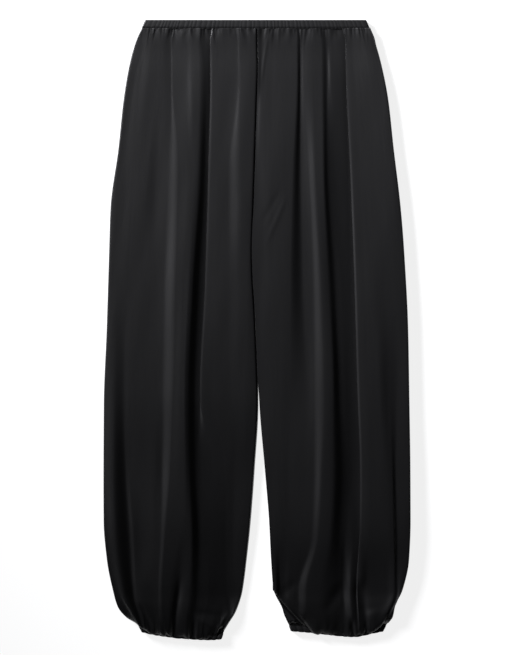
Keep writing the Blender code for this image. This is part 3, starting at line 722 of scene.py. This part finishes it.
def casing(rows, height, slant, count, pucker, stitch, seed, around):
    """Grid [around the loop, around the wall, xyz] of a flattened, ruched casing.

    rows holds (drop, x of one end, x of the other end) at its upper and lower edge. The loop is two
    straight sides joined by two half turns, and angle says which way its wall faces. A point lies by its
    offset away from the loop's centre line: the radius, more or less half the wall, and on the outside
    the puckers less the groove of the stitches. pucker is the height of the puckers, and stitch is the
    place of the stitch line as a share of the depth.
    """
    (drop0, *ends0), (drop1, *ends1) = rows
    radius = (height - CASING_WALL) / 2
    side = abs(ends0[1] - ends0[0]) - height
    turn = math.pi * radius
    loop = np.linspace(0, 1, around, endpoint=False)
    place = loop * 2 * (side + turn)
    stretches = [place < side, place < side + turn, place < 2 * side + turn]
    angle = np.select(stretches, [0 * place, (place - side) / radius, 0 * place + math.pi],
                      math.pi + (place - 2 * side - turn) / radius)
    flat = np.select(stretches, [place / side, 0 * place + 1, 1 - (place - side - turn) / side], 0 * place)
    out_x, out_z = (squared(part, TURN_POWER)[:, None] for part in (np.sin(angle), np.cos(angle)))
    section = np.linspace(0, 2 * math.pi, WALL_POINTS, endpoint=False)
    thick = squared(np.cos(section), CORNER_POWER) * CASING_WALL / 2
    down = 0.5 - 0.5 * squared(np.sin(section), CORNER_POWER)
    wave = pucker_wave(loop, count, seed)[:, None]
    stitched = hump((down - stitch) / STITCH_WIDTH)
    outside = np.clip(thick / (CASING_WALL / 2), 0, 1)
    pushed = pucker * wave * (1 - STITCH_HOLD * stitched) - (STITCH_DEPTH - STITCH_GIVE * wave) * stitched
    offset = radius + thick + pushed * outside
    start = ends0[0] + (ends1[0] - ends0[0]) * down
    stop = ends0[1] + (ends1[1] - ends0[1]) * down
    towards = np.sign(stop - start)
    x0, x1 = start + towards * height / 2, stop - towards * height / 2
    x = x0 + (x1 - x0) * flat[:, None] + towards * out_x * offset
    z = np.maximum(height / 2 + out_z * offset, 0.0)
    edge = ease(*LOWER_EDGE, down) - TOP_SCALLOP * (1 - ease(*UPPER_EDGE, down))
    drop = drop0 + (drop1 - drop0) * down + SCALLOP * pucker * wave * edge
    return np.stack([x, -(drop + slant(x)), z], axis=-1)


# %% The waistband and both hem casings
# Upper and lower edge of each casing: drop, x of one end, x of the other end.
BAND_ROWS = ((0.3, -179.5, 177.0), (BAND_DEPTH - 1.3, -186.0, 182.6))
RIGHT_CUFF_ROWS = ((HEM_DROP, -193.0, -52.0), (HEM_DROP + CUFF_DEPTH, -184.5, -56.0))
LEFT_CUFF_ROWS = ((HEM_DROP, 211.0, 51.0), (HEM_DROP + CUFF_DEPTH, 203.5, 55.5))
BAND_RUCHES = {"count": 112, "pucker": 0.22, "stitch": 0.94}
CUFF_RUCHES = {"pucker": 0.9, "stitch": 0.2}


def follow_hem(outline, hem):
    """The slant of a hem as a function of x."""
    outer, inner = outline[-1][1:]
    return lambda x: across_leg(*np.array(hem).T, (x - outer) / (inner - outer))


waistband_grid = casing(BAND_ROWS, BAND_HEIGHT, lambda x: 0 * x, seed=5, around=900, **BAND_RUCHES)
cuff_right_grid = casing(RIGHT_CUFF_ROWS, CUFF_HEIGHT, follow_hem(RIGHT_OUTLINE, RIGHT_HEM),
                         count=23, seed=6, around=460, **CUFF_RUCHES)
cuff_left_grid = casing(LEFT_CUFF_ROWS, CUFF_HEIGHT, follow_hem(LEFT_OUTLINE, LEFT_HEM),
                        count=26, seed=7, around=500, **CUFF_RUCHES)
print("casings, points round the loop and the wall:", waistband_grid.shape[:2],
      cuff_right_grid.shape[:2], cuff_left_grid.shape[:2])

# %% [markdown]
# ## Meshes
# A grid of points becomes a mesh with quads between neighbouring points. The grid's own two parameters,
# measured along the cloth in metres, are kept as a UV map, so that the weave follows every fold. The leg
# panels are then given the thickness of the cloth, and the casings already are walls.

# %% From a grid of points to an object


def cloth_object(name, grid, wrap=(False, False), turned=False):
    """Make a mesh object from a grid [column, row, xyz] in millimetres, with a UV map in metres of cloth.

    wrap says which of the two parameters closes on itself, and turned faces the quads the other way.
    """
    columns, rows = grid.shape[:2]
    place = np.stack([grid[..., 0] - CENTRE_X, TOP_Y + grid[..., 1], grid[..., 2]], axis=-1) * MM
    number = np.arange(columns * rows).reshape(columns, rows)
    across = np.linalg.norm(np.diff(place, axis=0), axis=-1).mean(axis=1)
    along = np.linalg.norm(np.diff(place, axis=1), axis=-1).mean(axis=0)
    u = np.concatenate([[0], np.cumsum(across)])
    v = np.concatenate([[0], np.cumsum(along)])
    if wrap[0]:
        number = np.concatenate([number, number[:1]])
        u = np.append(u, u[-1] + across[-1])
    if wrap[1]:
        number = np.concatenate([number, number[:, :1]], axis=1)
        v = np.append(v, v[-1] + along[-1])
    early, late = slice(None, -1), slice(1, None)
    corners = [(early, early), (early, late), (late, late), (late, early)]
    if turned:
        corners = corners[::-1]
    faces = np.stack([number[corner].ravel() for corner in corners], axis=-1)
    chart = np.stack(np.meshgrid(u, v, indexing="ij"), axis=-1)
    loops = np.stack([chart[corner].reshape(-1, 2) for corner in corners], axis=1)
    mesh = bpy.data.meshes.new(name)
    mesh.from_pydata(place.reshape(-1, 3), [], faces)
    mesh.uv_layers.new(name="cloth").data.foreach_set("uv", loops.astype(np.float32).ravel())
    mesh.shade_smooth()
    mesh.update()
    item = bpy.data.objects.new(name, mesh)
    bpy.context.scene.collection.objects.link(item)
    print(f"{name}: {len(faces)} quads")
    return item


# %% Leg panels
CLOTH = 0.45                              # thickness of the satin


def leg_panel(name, grid, turned=False):
    """A panel with the cloth's thickness on its inner side."""
    item = cloth_object(name, grid, turned=turned)
    solid = item.modifiers.new("thickness", "SOLIDIFY")
    solid.thickness = CLOTH * MM
    solid.offset = -1.0
    return item


right_front = leg_panel("right_front", right_front_grid)
left_front = leg_panel("left_front", left_front_grid, turned=True)
right_back = leg_panel("right_back", right_back_grid, turned=True)
left_back = leg_panel("left_back", left_back_grid)

# %% Waistband and hem casings
CLOSED = (True, True)
waistband = cloth_object("waistband_casing", waistband_grid, wrap=CLOSED, turned=True)
cuff_right = cloth_object("cuff_right_casing", cuff_right_grid, wrap=CLOSED, turned=True)
cuff_left = cloth_object("cuff_left_casing", cuff_left_grid, wrap=CLOSED)

# %% [markdown]
# ## The satin
# Black satin looks black only where it turns away from the light. Its long floats of yarn reflect softly,
# so a fold shows as a narrow, faint highlight on a nearly black ground. The shader is a very dark base with
# a medium roughness, which gives that without a sheen layer. Fine ribs, wider than real yarns but still
# under a millimetre, and long streaks of slightly uneven yarn follow the cloth through its UV map: as a
# bump, and as small changes of shade and gloss.

# %% A satin material
STREAKS = (900.0, 22.0, 1.0)              # scales across the cloth, along it and unused, for each metre
GLOSS_STREAKS = (120.0, 9.0, 1.0)
SLUBS = (260.0, 16.0, 1.0)
RIBS = (700.0, 420.0, 1.0)
NOISE_RANGE = (0.3, 0.7)                  # most of the noise lies between these
SHADE_RANGE = (0.94, 1.06)
GLOSS_SWING = 0.015
RIB_BUMP = (0.25, 0.00006)                # strength and height of the bump
SLUB_BUMP = (0.22, 0.0002)


def satin(name, colour, roughness):
    """A satin: base colour times a streaky shade, roughness with a streaky swing, and two layers of bump."""
    material = bpy.data.materials.new(name)
    material.use_nodes = True
    nodes, links = material.node_tree.nodes, material.node_tree.links
    shader = nodes["Principled BSDF"]
    shader.inputs["Metallic"].default_value = 0.0
    shader.inputs["IOR"].default_value = 1.5
    shader.inputs["Specular IOR Level"].default_value = 0.5
    chart = nodes.new("ShaderNodeUVMap")
    chart.uv_map = "cloth"

    def stretched(scale):
        """The cloth's own coordinates, multiplied by a scale for each direction."""
        mapping = nodes.new("ShaderNodeMapping")
        mapping.inputs["Scale"].default_value = scale
        links.new(chart.outputs["UV"], mapping.inputs["Vector"])
        return mapping.outputs["Vector"]

    def noise(scale, detail):
        """Noise from 0 to 1 that is drawn out along the cloth."""
        texture = nodes.new("ShaderNodeTexNoise")
        texture.inputs["Scale"].default_value = 1.0
        texture.inputs["Detail"].default_value = detail
        links.new(stretched(scale), texture.inputs["Vector"])
        return texture.outputs["Fac"]

    def bump(height, strength, distance):
        """A bump node that raises the surface by the height, up to the distance in metres."""
        node = nodes.new("ShaderNodeBump")
        node.inputs["Strength"].default_value = strength
        node.inputs["Distance"].default_value = distance
        links.new(height, node.inputs["Height"])
        return node

    shade = nodes.new("ShaderNodeMapRange")
    shade.inputs["From Min"].default_value, shade.inputs["From Max"].default_value = NOISE_RANGE
    shade.inputs["To Min"].default_value, shade.inputs["To Max"].default_value = SHADE_RANGE
    links.new(noise(STREAKS, 3.0), shade.inputs["Value"])
    tint = nodes.new("ShaderNodeVectorMath")
    tint.operation = "SCALE"
    tint.inputs[0].default_value = colour
    links.new(shade.outputs["Result"], tint.inputs["Scale"])
    links.new(tint.outputs["Vector"], shader.inputs["Base Color"])
    gloss = nodes.new("ShaderNodeMapRange")
    gloss.inputs["To Min"].default_value = roughness - GLOSS_SWING
    gloss.inputs["To Max"].default_value = roughness + GLOSS_SWING
    links.new(noise(GLOSS_STREAKS, 2.0), gloss.inputs["Value"])
    links.new(gloss.outputs["Result"], shader.inputs["Roughness"])
    ribs = nodes.new("ShaderNodeTexWave")
    ribs.wave_type = "BANDS"
    ribs.bands_direction = "DIAGONAL"
    ribs.inputs["Scale"].default_value = 1.0
    ribs.inputs["Distortion"].default_value = 1.5
    links.new(stretched(RIBS), ribs.inputs["Vector"])
    fine = bump(ribs.outputs["Fac"], *RIB_BUMP)
    slub = bump(noise(SLUBS, 3.0), *SLUB_BUMP)
    links.new(fine.outputs["Normal"], slub.inputs["Normal"])
    links.new(slub.outputs["Normal"], shader.inputs["Normal"])
    print(f"{name}: {len(nodes)} nodes")
    return material


# %% Black satin for the panels, a little duller where it is ruched
SATIN_BLACK = (0.0046, 0.0046, 0.0050)
satin_cloth = satin("black_satin", SATIN_BLACK, roughness=0.42)
casing_cloth = satin("black_satin_ruched", SATIN_BLACK, roughness=0.46)
for item in (right_front, left_front, right_back, left_back):
    item.data.materials.append(satin_cloth)
for item in (waistband, cuff_right, cuff_left):
    item.data.materials.append(casing_cloth)

# %% [markdown]
# ## Tying the pieces to the model
# Every piece rides on the garment's one body and takes the place of the solid that it dresses.

# %% Ride and replace
panels = {"front_right_leg": right_front, "front_left_leg": left_front,
          "back_right_leg": right_back, "back_left_leg": left_back}
casings = {"waistband": (waistband, (0.82, 0.017)), "cuff_right": (cuff_right, (0.34, 0.015)),
           "cuff_left": (cuff_left, (0.38, 0.015))}
for node, item in panels.items():
    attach(item, "root")
    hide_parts(node)
for node, (item, cut) in casings.items():
    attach(item, "root")
    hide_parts(node)
print(len(panels) + len(casings), "pieces ride on the garment's body")

# %% [markdown]
# ## The studio
# The photograph shows the garment cut out on white. The floor is a wide, matt, pale disc that glows a
# little, so that the shadow on it stays faint. One soft window light stands beyond the waist and to the
# left, low enough to skim the cloth: each fold's left-hand lip is lit, the hollow behind it stays dark, and
# the light falls off towards the hems. Its beam is kept narrow, and a very dim surround lifts the shadows.

# %% Floor
FLOOR_RADIUS = 8.0
FLOOR_LEVEL = -0.0006                     # a hair below the cloth
FLOOR_GREY = (0.40, 0.40, 0.40, 1.0)
FLOOR_GLOW = 0.85
FLOOR_CORNERS = 96
turn = np.linspace(0, 2 * math.pi, FLOOR_CORNERS, endpoint=False)
rim = np.stack([np.cos(turn) * FLOOR_RADIUS, np.sin(turn) * FLOOR_RADIUS, 0 * turn + FLOOR_LEVEL], axis=-1)
floor_mesh = bpy.data.meshes.new("floor")
floor_mesh.from_pydata(rim, [], [list(range(len(rim)))])
floor = bpy.data.objects.new("floor", floor_mesh)
bpy.context.scene.collection.objects.link(floor)
paint = bpy.data.materials.new("pale_floor")
paint.use_nodes = True
coat = paint.node_tree.nodes["Principled BSDF"].inputs
coat["Base Color"].default_value = FLOOR_GREY
coat["Roughness"].default_value = 0.9
coat["Specular IOR Level"].default_value = 0.1
coat["Emission Color"].default_value = (1.0, 1.0, 1.0, 1.0)
coat["Emission Strength"].default_value = FLOOR_GLOW
floor_mesh.materials.append(paint)
print("floor", 2 * FLOOR_RADIUS, "m across")


# %% Window light and surround
def soft_light(name, place, aim, size, power):
    """A square-cornered area light at a place, in metres, turned to face the aim."""
    light = bpy.data.lights.new(name, "AREA")
    light.shape = "RECTANGLE"
    light.size, light.size_y = size
    light.energy = power
    item = bpy.data.objects.new(name, light)
    bpy.context.scene.collection.objects.link(item)
    item.location = place
    direction = np.array(aim) - np.array(place)
    flat = math.hypot(direction[0], direction[1])
    item.rotation_euler = (math.atan2(flat, -direction[2]), 0.0, math.atan2(-direction[0], direction[1]))
    return item


# It is aimed past the garment, so that its light falls off across the cloth.
window = soft_light("window", place=(-2.07, 1.7, 1.44), aim=(3.3, -0.4, 0.0), size=(1.03, 1.03), power=70.6)
window.data.spread = math.radians(70)
window.data.color = (0.96, 0.96, 1.0)
world = bpy.data.worlds.new("studio")
world.use_nodes = True
surround = world.node_tree.nodes["Background"].inputs
surround["Color"].default_value = (0.95, 0.96, 1.0, 1.0)
surround["Strength"].default_value = 0.02
bpy.context.scene.world = world
bpy.context.scene.view_settings.view_transform = "Standard"
print("window light", round(math.dist(window.location, (0, 0, 0)), 2), "m from the garment's middle")

# %% [markdown]
# ## The camera
# It looks straight down from almost three metres with a long lens, so that the garment is seen as if cut
# out and laid on white, with hardly any perspective.

# %% Camera above the garment
PICTURE_HEIGHT = 655
GARMENT_ROWS = 621                          # rows of the picture that the garment covers
PIXEL = LENGTH * MM / GARMENT_ROWS
PICTURE_MIDDLE = (256.5, 327.5)
GARMENT_MIDDLE = (257.1, 330.0)
FOCAL, SENSOR = 100.0, 36.0
CLOTH_HEIGHT = 0.012                        # where a pixel is exactly PIXEL wide
distance = PICTURE_HEIGHT * PIXEL * FOCAL / SENSOR
camera_data = bpy.data.cameras.new("camera")
camera_data.lens = FOCAL
camera_data.sensor_width = SENSOR
camera_data.clip_end = 50.0
camera = bpy.data.objects.new("camera", camera_data)
bpy.context.scene.collection.objects.link(camera)
camera.location = ((PICTURE_MIDDLE[0] - GARMENT_MIDDLE[0]) * PIXEL,
                   (GARMENT_MIDDLE[1] - PICTURE_MIDDLE[1]) * PIXEL, distance + CLOTH_HEIGHT)
bpy.context.scene.camera = camera
print("camera", round(distance, 3), "m above the garment")

# %% [markdown]
# ## Sizes
# Cloth may stand a little proud of the solids, but it must not change the garment's size. The scene is
# brought up to date at the end.

# %% Finish
bpy.context.view_layer.update()
